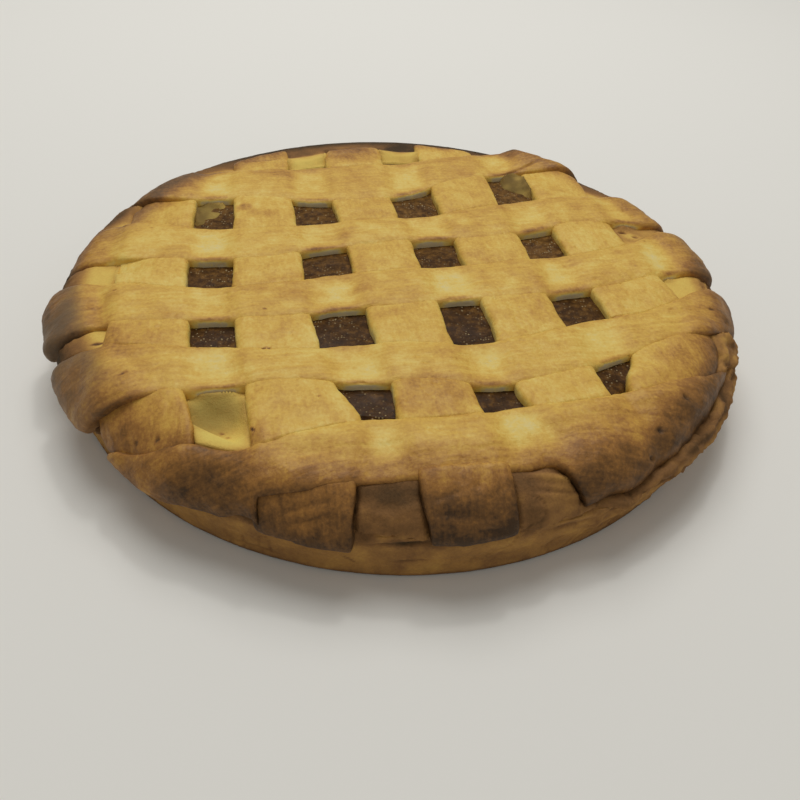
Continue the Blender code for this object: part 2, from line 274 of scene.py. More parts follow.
def make_skin(name, grid, values, body="root"):
    """Closed mesh from rings of points, with a fan over each end; values are per-point
    attributes. The rings are turned round if they enclose a negative volume."""
    rows, cols, _ = grid.shape
    points = np.concatenate([grid.reshape(-1, 3), grid[:1].mean(axis=1), grid[-1:].mean(axis=1)])
    i, j = np.meshgrid(np.arange(rows - 1), np.arange(cols), indexing="ij")
    k = (j + 1) % cols
    quads = np.stack([i * cols + j, i * cols + k, (i + 1) * cols + k, (i + 1) * cols + j],
                     axis=-1).reshape(-1, 4)
    c = np.arange(cols)
    d = (c + 1) % cols
    fans = np.concatenate([
        np.stack([np.full(cols, rows * cols), d, c], axis=-1),
        np.stack([np.full(cols, rows * cols + 1), (rows - 1) * cols + c, (rows - 1) * cols + d],
                 axis=-1)])
    a, b, e, g = (points[quads[:, n]] for n in range(4))
    volume = np.einsum("ij,ij->i", a, np.cross(b, e) + np.cross(e, g)).sum() \
        + np.einsum("ij,ij->i", points[fans[:, 0]],
                    np.cross(points[fans[:, 1]], points[fans[:, 2]])).sum()
    if volume < 0:
        quads, fans = quads[:, ::-1], fans[:, ::-1]
    loops = np.concatenate([quads.ravel(), fans.ravel()])
    starts = np.concatenate([np.arange(len(quads)) * 4, len(quads) * 4 + np.arange(len(fans)) * 3])
    mesh = bpy.data.meshes.new(name)
    mesh.vertices.add(len(points))
    mesh.vertices.foreach_set("co", (points * MM).ravel())
    mesh.loops.add(len(loops))
    mesh.loops.foreach_set("vertex_index", loops.astype(np.int32))
    mesh.polygons.add(len(starts))
    mesh.polygons.foreach_set("loop_start", starts.astype(np.int32))
    mesh.polygons.foreach_set("use_smooth", np.ones(len(starts), bool))
    mesh.update(calc_edges=True)
    mesh.validate()
    for key, value in values.items():
        flat = np.broadcast_to(value, (rows, cols)).astype(float)
        flat = np.concatenate([flat.ravel(), [flat[0].mean(), flat[-1].mean()]])
        mesh.attributes.new(key, "FLOAT", "POINT").data.foreach_set("value", flat)
    piece = bpy.data.objects.new(name, mesh)
    bpy.context.scene.collection.objects.link(piece)
    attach(piece, body)
    return piece


def marked(u, v, marks):
    """Depth and darkening of marks at flat points: each adds its own times exp(-d^4), d being
    the distance from it in units of its half length and half width, along and across it."""
    depth, dark = np.zeros(np.shape(u)), np.zeros(np.shape(u))
    for at_u, at_v, length, width, turned, deep, darker in marks:
        c, n = math.cos(math.radians(turned)), math.sin(math.radians(turned))
        x, y = (u - at_u) * c + (v - at_v) * n, (v - at_v) * c - (u - at_u) * n
        share = np.exp(-np.minimum((x / length)**2 + (y / width)**2, 5.0)**2)
        depth, dark = depth + deep * share, dark + darker * share
    return depth, dark


def jam_edge(turn, crept):
    """Radius at which the jam meets the dough border: a circle, pushed out on one side; the
    border's own edge has crept further in at two places, where the jam lies thin on it."""
    edge = JAM_RADIUS + JAM_REACH * towards(turn, JAM_REACH_AT, 0.9, 1.0)
    for at, back, wide in CREEPS:
        edge = edge - crept * back * towards(turn, at, wide)
    return edge


# how far each direction belongs to the flared side, its near half, the near side with the
# tabs, the paler stretch there, and the back
turn = np.linspace(-math.pi, math.pi, 860, endpoint=False)
rim_line = np.stack([np.cos(turn), np.sin(turn), np.zeros_like(turn)], axis=-1) * 118.0
tooth = rough(rim_line, 5.5, 3, 3)
flare = towards(turn, FLARE_AT, 1.15, 1.35)
flare_near = flare * ease((FLARE_LIP_FROM - turn) / 0.14)
near = towards(turn, TURN + NEAR_AT, 0.5)
near_side = towards(turn, TURN + NEAR_SIDE_AT, 0.8)
back = ease((np.sin(turn) - 0.45) / 0.4)
wall_out = WALL_LEAN + FLARE_OUT * flare
inner = jam_edge(turn, 1.0)


def base_profile():
    """Rings of the base from the middle of its underside to the middle of its floor, as
    (radius, height, distance from the middle over the rim): up the wall, round the roll,
    where the lip swells wherever the strips leave it free, in over the border, which has
    welled up along them, and down to the floor under the jam."""
    profile = []

    def ring(r, z, s):
        profile.append([np.broadcast_to(np.asarray(x, float), turn.shape) for x in (r, z, s)])

    for r in np.linspace(20.0, FOOT_RADIUS - 1.6, 10):
        ring(r, 0.0, 140.0)
    ring(FOOT_RADIUS - 0.5, 0.25, 138.0)
    for z in np.linspace(0.7, WALL_TOP, 24):
        ring(FOOT_RADIUS + wall_out * ease((z - 1.0) / 13.0), z, 136.0 - z)
    for bend in np.linspace(math.pi / 2, 0.0, 42)[1:]:
        s = SHOULDER + ROLL * bend
        u, v = s * np.cos(turn - TURN), s * np.sin(turn - TURN)
        free = free_of_strips(u, v, s)
        lip_end = LIP_END + FLARE_OUT * flare + 0.9 * tooth
        under_lip = 1.0 - ease((s - lip_end) / 0.9)
        swell = BORDER_PUFF + (LIP + FLARE_LIP * flare_near - RECESS * near - BACK_PRESSED * back
                               - BORDER_PUFF) * ease(bend / 0.8)
        swell = swell * ease((free + 2.7 - (1.6 - 1.5 * flare) * ease(bend / 0.5)) / 2.4) \
            * np.maximum(under_lip, 0.12 + 0.75 * flare)
        swell = swell * (1.0 - PRESSED_SHARE * patch(u, v, *PRESSED_IN))
        wall = wall_out * ease((s - 116.0) / 5.0) * ease((free - 0.5) / 2.5)
        out = ROLL - 0.45 + np.maximum(swell, wall)
        ring(SHOULDER + out * math.sin(bend), BED - ROLL + out * math.cos(bend), s)
    for t in np.linspace(0.0, 1.0, 34)[1:]:
        s = SHOULDER + (inner + 1.0 - SHOULDER) * t
        u, v = s * np.cos(turn - TURN), s * np.sin(turn - TURN)
        lower, upper = outside(DOWN, u, v, s), outside(ACROSS, v, u, s)
        free = np.minimum(lower, upper)
        inwards = s - inner - 1.0
        fillet = WELLED * np.exp(-np.maximum(free, 0.0) / 1.7) * ease((free + 0.8) / 0.8)
        fillet = fillet * ease(np.maximum(lower, upper) / 5.0) * ease(inwards / 3.0)
        fillet = fillet * ease((102.0 - 6.0 * back - s) / 8.0)
        fillet = fillet + 1.6 * back * ease(inwards / 5.0) * ease((97.0 - s) / 6.0)
        height = JAM_LEVEL - 0.1 + BORDER_PUFF + fillet - SUNK * patch(u, v, *SUNK_IN)
        ring(s, height - 1.2 * ease(-free / 2.0), s)
    ring(inner + 0.2, JAM_LEVEL + 1.6, inner + 0.5)
    ring(inner, JAM_LEVEL - 0.8, inner)
    ring(inner - 1.5, JAM_LEVEL - 4.0, inner - 1.5)
    for r in (60.0, 30.0):
        ring(r, FLOOR, r)
    return np.array(profile)


rings, heights, reaches = base_profile().transpose(1, 0, 2)
base = np.stack([rings * np.cos(turn), rings * np.sin(turn), heights], axis=-1)
u, v = reaches * np.cos(turn - TURN), reaches * np.sin(turn - TURN)
free = free_of_strips(u, v, reaches)
on_side = ease((reaches - 106.0) / 6.0) * ease((heights - 0.2) / 2.0)
on_top = ease((106.0 - reaches) / 8.0) * ease((reaches - inner - 0.5) / 2.0)
low_wall = ease((reaches - 119.0) / 5.0) * ease((heights - 0.3) / 1.5)
off_foot = heights > 2.0

# crumbs and cracks all over the lip, broken layers in the flare, long flat ones along the
# wall, and soft puffs on the border
layers = rough(base * np.array([0.16, 0.16, 1.0]), 2.6, 41, 2)
ridges = np.sin(2 * math.pi * (reaches + 2.4 * rough(base, 13.0, 43, 3)) / RIDGE) \
    * ease(0.55 + 0.6 * rough(base, 11.0, 45, 2))
cracks = np.abs(rough(base * np.array([1.0, 1.0, 0.55]), 16.0, 31, 3))
mark_depth, mark_dark = marked(u, v, BASE_MARKS)
push = on_side * (0.30 * rough(base, 6.0, 5, 3) + 0.22 * rough(base, 1.9, 9, 2)) \
    + on_side * flare * (0.55 * np.sign(layers) * np.abs(layers)**0.6 + 0.62 * ridges
                         + CRUMB * np.maximum(rough(base, 3.0, 23, 3), -0.6)) \
    + low_wall * (1.0 - flare) * 0.28 * layers \
    - on_side * (1.0 - 0.5 * flare) * 0.45 * ease(1.0 - cracks / 0.04) \
    + on_top * 0.40 * rough(base, 7.0, 13, 3) \
    - mark_depth * off_foot
normal = outwards(base, True)
outer = np.einsum("ijk,ijk->ij", normal, base - np.array([0, 0, 14.0])) > 0
base = base + normal * (np.where(outer, 1.0, -1.0) * push)[..., None]
base[..., 2] = np.maximum(base[..., 2], 0.0)

# how far each place is baked, with painted shade mixed in at the cracks and against the
# strips: pale custardy dough inside, tan wall, brown lip, and a floury pale edge where the
# flared lip pulled away from the strips
start = 104.0 - 10.0 * back - 7.0 * near_side
back_rim = back * ease((reaches - 101.0) / 5.0) * (1.0 - low_wall)
bake_and_shade = 0.15 + 0.52 * ease((reaches - start) / (6.0 - 2.5 * back)) \
    + 0.24 * ease((reaches - start - 5.0) / 8.0)
bake_and_shade = bake_and_shade - 0.38 * low_wall * (1.0 - 0.5 * flare) + 0.06 * low_wall * ease(np.cos(turn + 0.9))
bake_and_shade = bake_and_shade + (0.12 - 0.22 * ease((reaches - 108.0) / 7.0)) * back_rim
# on the side: painted shade along the cracks, and darker in the lowest 2.5 mm of the wall
bake_and_shade = bake_and_shade + on_side * (0.10 * rough(base, 5.0, 51, 3) + 0.07 * ease(1.0 - cracks / 0.05)
                         + 0.10 * ease(1.0 - heights / 2.5) - flare * (0.20 + 0.13 * ridges)
                         - 0.20 * near_side * (1.0 - low_wall) * (1.0 - flare)
                         - 0.14 * flare * np.exp(-((free - 1.8) / 0.8)**2))
# on the border: painted shade right against the strips
bake_and_shade = bake_and_shade + on_top * (0.09 * rough(base, 9.0, 57, 3) + 0.10 * ease(1.0 - free / 2.5)
                        + 0.03 * back)
# the marks: specks, painted shadows under the flaps, and painted light in the sunk corner
bake_and_shade = bake_and_shade + mark_dark * off_foot

# olive-brown over the dough: painted shade in the sunk gap, thin jam and painted shade beside two
# others
smear_and_shade = sum(much * patch(u, v, *where) for *where, much in SMEARS_AND_SHADE)
smear_and_shade = smear_and_shade * ease((107.0 - reaches) / 5.0) * ease(0.95 + 0.3 * rough(base, 5.0, 59, 3))
crust = make_skin("crumbly_base_crust", base, {"bake_and_shade": np.clip(bake_and_shade, 0.0, 1.0),
                                               "smear_and_shade": np.clip(smear_and_shade, 0.0, 1.0)})
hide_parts("base_crust")


def linear(text):
    """sRGB hex to linear RGB: each channel through the sRGB curve."""
    c = [int(text[n:n + 2], 16) / 255 for n in (1, 3, 5)]
    return (*[x / 12.92 if x <= 0.04045 else ((x + 0.055) / 1.055)**2.4 for x in c], 1.0)


def add_node(tree, kind, links=(), **settings):
    """Adds a node. Settings name its properties, and links give its inputs as
    (socket, value) or (socket, node, output)."""
    node = tree.nodes.new(kind)
    for key, value in settings.items():
        setattr(node, key, value)
    for socket, *source in links:
        if len(source) == 1:
            node.inputs[socket].default_value = source[0]
        else:
            tree.links.new(source[0].outputs[source[1]], node.inputs[socket])
    return node


def colours(node, stops):
    """Gives a colour ramp its stops, as (place, sRGB hex)."""
    ramp = node.color_ramp
    while len(ramp.elements) < len(stops):
        ramp.elements.new(0.5)
    for element, (place, text) in zip(ramp.elements, stops):
        element.position = place
        element.color = linear(text)


# Short dough baked dry against a tin: no gloss, a fine open crumb, and colour
# that goes from custard yellow under the lattice to brown on the lip, with painted
# shade in its cracks and against the strips.
crumb_look = bpy.data.materials.new("dry_baked_shortcrust")
crumb_look.use_nodes = True
tree = crumb_look.node_tree
tree.nodes.clear()
place = add_node(tree, "ShaderNodeTexCoord")
baked = add_node(tree, "ShaderNodeAttribute", attribute_name="bake_and_shade")
# patches about 6 mm wide, and crumb grains about 0.8 mm
patches = add_node(tree, "ShaderNodeTexNoise", [("Vector", place, "Object"),
                   ("Scale", 1 / (6 * MM)), ("Detail", 4.0), ("Roughness", 0.6)])
grains = add_node(tree, "ShaderNodeTexNoise", [("Vector", place, "Object"),
                  ("Scale", 1 / (0.8 * MM)), ("Detail", 3.0), ("Roughness", 0.65)])
shift = add_node(tree, "ShaderNodeMath", [(0, patches, "Fac"), (1, 0.26), (2, -0.13)],
                 operation="MULTIPLY_ADD")
fine_shift = add_node(tree, "ShaderNodeMath", [(0, grains, "Fac"), (1, 0.22), (2, -0.11)],
                      operation="MULTIPLY_ADD")
both = add_node(tree, "ShaderNodeMath", [(0, shift, 0), (1, fine_shift, 0)], operation="ADD")
level = add_node(tree, "ShaderNodeMath", [(0, baked, "Fac"), (1, both, 0)], operation="ADD",
                 use_clamp=True)
crumb_colour = add_node(tree, "ShaderNodeValToRGB", [("Fac", level, 0)])
colours(crumb_colour, [(0.0, "#E2C868"), (0.18, "#D9B65C"), (0.36, "#C4994E"),
                       (0.52, "#A87C43"), (0.70, "#866038"), (0.86, "#65492B"), (1.0, "#43331F")])
# the olive-brown mixed in here is painted shade, with thin jam beside two of the gaps
smear_and_shade_share = add_node(tree, "ShaderNodeAttribute", attribute_name="smear_and_shade")
smear_and_shade_mix = add_node(tree, "ShaderNodeMixRGB", [("Fac", smear_and_shade_share, "Fac"),
                    ("Color1", crumb_colour, "Color"), ("Color2", linear("#6B552A"))])
crumb_bump = add_node(tree, "ShaderNodeBump", [("Height", grains, "Fac"), ("Strength", 0.7),
                      ("Distance", 0.35 * MM)])
shader = add_node(tree, "ShaderNodeBsdfPrincipled", [("Base Color", smear_and_shade_mix, "Color"),
                  ("Normal", crumb_bump, "Normal"), ("Roughness", 0.78), ("IOR", 1.45),
                  ("Specular IOR Level", 0.22)])
add_node(tree, "ShaderNodeOutputMaterial", [("Surface", shader, "BSDF")])
crust.data.materials.append(crumb_look)

# ---------------------------------------------------------------------------
# The filling: fruit cooked down with sugar to a dark, sticky, grainy jam, and
# spread over the dough. It shows in the gaps of the lattice.
# ---------------------------------------------------------------------------
JAM_TOP = 29.3                # how far the jam has welled up in the gaps
turn_jam = np.linspace(-math.pi, math.pi, 480, endpoint=False)
edge = jam_edge(turn_jam, 0.0) + 0.6
# rings as (radius, height): out over the top, down at its edge, and in along the floor
jam_rings = [(r, JAM_TOP - 1.2 * (r > edge - 1.0)) for r in np.linspace(0.02, 1.0, 124)[:, None] * edge]
jam_rings += [(edge - 2.2, JAM_TOP - 3.0), (edge - 2.4, JAM_TOP - 5.5), (edge - 6.0, FLOOR + 0.8)]
jam_rings += [((edge - 6.0) * share, FLOOR + 0.3) for share in (0.6, 0.2)]
jam = np.array([[r * np.cos(turn_jam), r * np.sin(turn_jam), r * 0.0 + z] for r, z in jam_rings])
jam = jam.transpose(0, 2, 1)
jam_top = ease((jam[..., 2] - JAM_TOP + 1.5) / 1.0)
# soft heaps of fruit pulp with a fine grain on them
jam[..., 2] += jam_top * (0.38 * rough(jam, 9.0, 71, 2) + 0.05 * rough(jam, 2.2, 73, 2))
# the far side painted paler as a painted reflection, with random tone over all of it
filling = make_skin("cooked_fruit_jam", jam, {
    "far_reflection_and_tone": 0.5 + 0.5 * np.clip(jam[..., 1] / 70.0, -1.0, 1.0) + 0.3 * humps(jam, 11.0, 79)})
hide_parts("fruit_filling")

# Boiled-down jam: dark brown, nearly opaque, with a wet skin over grains of
# fruit and seed about 1 mm across, which catch the light as small sparks; some
# grains are painted as pale dots, partly their own colour, partly a painted glint.
jam_look = bpy.data.materials.new("boiled_down_fruit_jam")
jam_look.use_nodes = True
tree = jam_look.node_tree
tree.nodes.clear()
place = add_node(tree, "ShaderNodeTexCoord")
pulp = add_node(tree, "ShaderNodeTexNoise", [("Vector", place, "Object"),
                ("Scale", 1 / (2.6 * MM)), ("Detail", 5.0), ("Roughness", 0.7)])
seeds = add_node(tree, "ShaderNodeTexVoronoi", [("Vector", place, "Object"),
                 ("Scale", 1 / (0.9 * MM)), ("Randomness", 1.0)])
# the far side is painted a little paler, a painted reflection of the light glancing off it
far_reflection_and_tone = add_node(tree, "ShaderNodeAttribute", attribute_name="far_reflection_and_tone")
pulp_level = add_node(tree, "ShaderNodeMath", [(0, far_reflection_and_tone, "Fac"), (1, 0.21), (2, pulp, "Fac")],
                      operation="MULTIPLY_ADD")
pulp_colour = add_node(tree, "ShaderNodeValToRGB", [("Fac", pulp_level, 0)])
colours(pulp_colour, [(0.32, "#2C1B0A"), (0.54, "#472E13"), (0.70, "#694920"), (0.86, "#866232")])
# about one seed in four shows, where a broad patch is coarse: a pale dot that stands out,
# the grain's own colour with a painted glint on it
which = add_node(tree, "ShaderNodeSeparateColor", [("Color", seeds, "Color")])
stands = add_node(tree, "ShaderNodeMapRange", [("Value", which, "Red"), ("From Min", 0.70),
                  ("From Max", 0.74)])
coarse = add_node(tree, "ShaderNodeTexNoise", [("Vector", place, "Object"),
                  ("Scale", 1 / (7 * MM)), ("Detail", 2.0)])
coarse_part = add_node(tree, "ShaderNodeMapRange", [("Value", coarse, "Fac"),
                       ("From Min", 0.40), ("From Max", 0.60)])
seed_dome = add_node(tree, "ShaderNodeMapRange", [("Value", seeds, "Distance"), ("From Min", 0.42),
                     ("From Max", 0.20)])
some = add_node(tree, "ShaderNodeMath", [(0, stands, "Result"), (1, coarse_part, "Result")],
                operation="MULTIPLY")
seed_height = add_node(tree, "ShaderNodeMath", [(0, seed_dome, "Result"), (1, some, 0)],
                       operation="MULTIPLY")
# pale seed dots: the grains, with a painted glint on them
jam_colour = add_node(tree, "ShaderNodeMixRGB", [("Fac", seed_height, 0),
                      ("Color1", pulp_colour, "Color"), ("Color2", linear("#A89470"))])
grain_height = add_node(tree, "ShaderNodeMath", [(0, pulp, "Fac"), (1, 0.9), (2, seed_height, 0)],
                        operation="MULTIPLY_ADD")
jam_bump = add_node(tree, "ShaderNodeBump", [("Height", grain_height, 0), ("Strength", 0.7),
                    ("Distance", 0.30 * MM)])
wetness = add_node(tree, "ShaderNodeMapRange", [("Value", coarse, "Fac"), ("From Min", 0.3),
                   ("From Max", 0.7), ("To Min", 0.40), ("To Max", 0.26)])
shader = add_node(tree, "ShaderNodeBsdfPrincipled", [("Base Color", jam_colour, "Color"),
                  ("Roughness", wetness, "Result"), ("Normal", jam_bump, "Normal"), ("IOR", 1.40),
                  ("Specular IOR Level", 0.10)])
add_node(tree, "ShaderNodeOutputMaterial", [("Surface", shader, "BSDF")])
filling.data.materials.append(jam_look)

# ---------------------------------------------------------------------------
# The lower strips, laid down the cake. They have risen a little in the gaps
# between the upper strips, and their near ends hang over the rim as tabs.
# ---------------------------------------------------------------------------
THICK = 4.2                   # a strip's thickness
PRESSED = 0.28                # how much flatter the dough is on the side wall
UNDER = 4.4                   # a lower strip's height where an upper one presses on it
LEVEL = 7.0                   # the height at which the strips have baked together
CROWN = 0.55                  # how far an upper strip rises above it over a lower one
DIP = 0.95                    # how far it has sunk in the middle between two
CORE = 0.42                   # what is left of the thickness at a trimmed edge
RING_STEP = 0.6               # distance between the rings of points along a strip
MARKS = (                     # on the strips, as BASE_MARKS
    # pits and specks
    (-96.0, -11.0, 0.5, 0.4, 0, 0.2, 0.35), (-96.0, 34.0, 0.6, 0.4, 30, 0.2, 0.25),
    (-86.0, 29.0, 0.6, 0.4, 0, 0.2, 0.25), (-90.0, -54.0, 0.8, 0.5, 40, 0.2, 0.35),
    (-86.0, -74.0, 0.6, 0.45, 0, 0.4, 0.28), (-80.0, -76.0, 0.6, 0.45, 0, 0.4, 0.28),
    (-50.6, -48.0, 0.9, 0.4, 35, 0.2, 0.60), (-49.2, -48.0, 0.8, 0.4, -40, 0.2, 0.60),
    (-49.0, -28.0, 0.6, 0.4, 0, 0.2, 0.35), (-37.0, -72.0, 0.5, 0.4, 0, 0.2, 0.35),
    (-56.0, -82.0, 1.2, 0.35, -55, 0.2, 0.50), (-52.0, 42.0, 3.0, 2.8, 0, 0.3, 0.24),
    (-48.5, 37.0, 1.8, 3.6, 0, 0.1, 0.12), (68.0, -84.0, 0.6, 0.9, 20, 0.7, 0.16),
    (56.0, -94.0, 0.7, 0.7, 0, 0.7, 0.18), (64.0, -90.0, 0.5, 0.5, 0, 0.4, 0.12),
    (62.0, -88.0, 0.7, 0.35, 20, -0.2, -0.16), (59.0, -86.0, 0.6, 0.35, 10, -0.2, -0.14),
    (60.5, -89.5, 0.5, 0.3, 0, -0.2, -0.16), (51.0, -101.0, 0.8, 0.6, 0, 0.8, 0.20),
    (98.0, -44.0, 0.5, 0.5, 0, 0.4, 0.22), (96.0, 0.0, 0.5, 0.5, 0, 0.4, 0.25),
    # cracks and folds, painted darker with the shade in them
    (63.0, -46.4, 4.0, 0.5, 8, 0.6, 0.20), (67.0, 64.5, 9.5, 0.8, 22, 0.8, 0.14),
    (-40.0, 86.0, 9.0, 0.6, 4, 0.5, 0.10), (-14.0, 94.0, 3.2, 0.9, 70, 0.6, 0.14),
    (-5.0, -112.6, 7.5, 0.8, -8, 0.6, 0.09), (-9.0, -108.5, 3.8, 0.5, 6, 0.4, 0.08),
    (2.5, -116.2, 4.0, 0.6, -4, 0.5, 0.08), (-45.0, -103.4, 7.5, 0.5, -4, 0.4, 0.06),
    (-43.0, -106.4, 6.0, 0.5, -6, 0.5, 0.07), (-47.0, -110.0, 5.0, 0.5, -2, 0.4, 0.06),
    # broad places that took more heat, or less, and one of painted shade
    (-6.0, -75.0, 13.0, 9.0, 0, 0.0, 0.22), (-45.0, -73.0, 12.0, 9.0, 0, 0.0, 0.07),
    (-45.0, -38.0, 12.0, 8.0, 0, 0.0, 0.10), (-7.0, -39.0, 12.0, 8.0, 0, 0.0, 0.06),
    (-87.0, -34.0, 11.0, 9.0, 0, 0.0, 0.07), (-26.0, -55.0, 9.0, 8.0, 0, 0.0, 0.13),
    (76.0, 4.0, 10.0, 9.0, 0, 0.0, -0.10), (-4.0, 90.0, 14.0, 14.0, 0, 0.0, 0.30),
    (-44.0, 90.0, 15.0, 10.0, 0, 0.0, 0.08), (38.0, 96.0, 14.0, 8.0, 0, 0.0, 0.16),
    (77.0, 86.0, 13.0, 9.0, 0, 0.0, 0.12), (-46.0, -110.0, 14.0, 11.0, 0, 0.0, -0.04),
    # the second here is painted shade at the right end of the third upper strip
    (100.0, -44.0, 10.0, 10.0, 0, 0.0, -0.08), (108.0, -18.0, 7.0, 6.0, 0, 0.0, 0.14),
    (33.0, -100.0, 8.0, 6.0, 0, 0.0, 0.10), (-6.0, 15.0, 9.0, 8.0, 0, 0.0, -0.11),
    (-4.0, -113.0, 10.0, 9.0, 0, 0.0, 0.06), (16.0, -58.0, 6.0, 7.0, 0, 0.0, -0.13),
    (16.0, -93.0, 7.0, 6.0, 0, 0.0, -0.10), (-6.0, 39.0, 9.0, 6.0, 0, 0.0, 0.07),
    (-25.0, -20.0, 6.0, 7.0, 0, 0.0, -0.08), (-64.0, -20.0, 7.0, 8.0, 0, 0.0, 0.07),
)


def drape(u, v, lift):
    """A flat point laid over the cake: its distance from the middle is spent first on the
    flat top, then on the roll over the rim, then down the wall; lift stands out from it."""
    s = np.hypot(u, v)
    lift = lift * (1.0 - PRESSED * ease((s - SHOULDER + 4.0) / 16.0))
    bend = np.clip((s - SHOULDER) / ROLL, 0.0, math.pi / 2)
    past = np.maximum(s - SHOULDER - ROLL * math.pi / 2, 0.0)
    r = np.minimum(s, SHOULDER) + (ROLL + lift) * np.sin(bend)
    z = BED - ROLL + (ROLL + lift) * np.cos(bend) - past
    turn = np.arctan2(v, u) + TURN
    return np.stack([r * np.cos(turn), r * np.sin(turn), z], axis=-1)


def span(strip):
    """Where a strip begins and ends: where its inner edge meets the trimmed circle."""
    found = []
    for sign, end in ((-1.0, strip["ends"][0]), (1.0, strip["ends"][1])):
        along = sign * end
        for _ in range(8):
            low = float(between(np.array(along), strip["along"], strip["low"]))
            high = float(between(np.array(along), strip["along"], strip["high"]))
            inner = 0.0 if low < 0.0 < high else min(abs(low), abs(high)) + 1.5
            along = sign * math.sqrt(end**2 - inner**2)
        found.append(along)
    return found


def thickness(strip, along, s):
    """A strip's thickness and its share left at the trimmed edge: even, then risen or pressed
    over its last 22 mm, and rounded off like a quarter circle at the edge."""
    far = ease((along + 30.0) / 60.0)
    to_end = reach(strip, along) - s
    puff = strip["puff"][0] + (strip["puff"][1] - strip["puff"][0]) * far
    soft = strip["soft"][0] + (strip["soft"][1] - strip["soft"][0]) * far
    k = np.clip(to_end / soft, 0.0, 1.0)
    return THICK + puff * ease(1.0 - to_end / 22.0), CORE + (1 - CORE) * np.sqrt(1.0 - (1.0 - k)**2)


def strip_outline(top=84, bottom=11, half=12.0, thick=6.0):
    """Section of a strip, from -1 to 1 across and 0 to 1 up: a flat underside, and a
    super-ellipse of power 7 over it, a little crowned, spaced evenly by length."""
    a = np.linspace(0.0, math.pi, 1200)
    x = np.sign(np.cos(a)) * np.abs(np.cos(a))**(2 / 7)
    y = 0.35 + 0.65 * np.abs(np.sin(a))**(2 / 7) - 0.02 * np.abs(x)**2.5
    x = np.concatenate([[0.95, 0.99], x, [-0.99, -0.95]])
    y = np.concatenate([[0.0, 0.06], y, [0.06, 0.0]])
    length = np.concatenate([[0.0], np.cumsum(np.hypot(np.diff(x) * half, np.diff(y) * thick))])
    even = np.linspace(0.0, length[-1], top)
    upper = np.stack([np.interp(even, length, x), np.interp(even, length, y)], axis=-1)
    lower = np.stack([np.linspace(-0.95, 0.95, bottom + 2)[1:-1], np.zeros(bottom)], axis=-1)
    return np.concatenate([upper, lower])


def on_lower(u, v, inset, width):
    """Share from 0 to 1 by which a point lies over a lower strip: 1 from inset inside its
    edges, easing to 0 over width."""
    s = np.hypot(u, v)
    return ease((width - inset - outside(DOWN, u, v, s)) / width)


def strip_body(strip, across, seed):
    """Rings of points of one strip, and what each point needs to know: its place along and
    across the strip, and its distance from the middle of the cake."""
    outline = strip_outline()
    low_end, high_end = span(strip)
    t = np.linspace(low_end, high_end, int((high_end - low_end) / RING_STEP))
    far = ease((t + 30.0) / 60.0)
    blunt = strip["blunt"][0] + (strip["blunt"][1] - strip["blunt"][0]) * far
    k = np.clip(np.minimum(t - t[0], t[-1] - t) / blunt, 0.0, 1.0)
    narrow = 0.62 + 0.38 * np.sqrt(1.0 - (1.0 - k)**2)
    line = np.stack([t, np.full_like(t, seed * 40.0), np.zeros_like(t)], axis=-1)
    limit = np.sqrt(np.maximum((reach(strip, t) + 0.45 * rough(line, 7.0, 107, 2))**2 - t**2, 2.0))
    low = between(t, strip["along"], strip["low"]) + 0.40 * rough(line, 9.0, 101, 3)
    high = between(t, strip["along"], strip["high"]) + 0.40 * rough(line, 9.0, 103, 3)
    low, high = np.maximum(low, -limit), np.minimum(high, limit)
    x = outline[None, :, 0]
    side = ((low + high) / 2)[:, None] + ((high - low) / 2 * narrow)[:, None] * x
    along = np.repeat(t[:, None], len(outline), axis=1)
    u, v = (along, side) if across else (side, along)
    s = np.hypot(u, v)
    up = outline[None, :, 1]
    thick, core = thickness(strip, along, s)
    over_rim = ease((s - 93.0) / 12.0)
    if across:
        # its edges have baked flush with the lower strips: its middle stands up over each of
        # them and sinks between two, where it fills the gap down to the jam
        bottom = (UNDER - 0.7) * on_lower(u, v, 3.0, 2.5)
        over = on_lower(u, v, 3.5, 8.0)
        lap = 2.0 - 1.3 * ease((-v - 84.0) / 8.0)
        top = LEVEL + (thick + 0.3 + lap * over - LEVEL) * over_rim
        top = top + (CROWN * over - DIP * (1.0 - over) * (1.0 - over_rim)) \
            * (1.0 - np.abs(x)**2.5)
    else:
        # pressed flat where an upper strip crosses, risen in between
        gap = outside(ACROSS, v, u, s)
        bottom = np.zeros_like(u)
        level_off = np.where(v > 0.0, ease((s - 82.0) / 18.0), ease((s - 100.0) / 12.0))
        top = LEVEL + 0.2 * ease(gap / 8.0) + (np.maximum(thick, 1.0) - LEVEL) * level_off
        top = np.minimum(UNDER, top) + np.maximum(top - UNDER, 0.0) * ease((gap + 3.2) / 2.6)
    rise = bottom - 0.4 + ((top + 0.4) * core - bottom * core) * up
    own = np.stack([along, side, np.full_like(u, seed * 29.0)], axis=-1)
    return dict(grid=drape(u, v, rise), u=u, v=v, s=s, along=along, own=own,
                across=np.repeat(x, len(t), 0), up=np.repeat(up, len(t), 0))


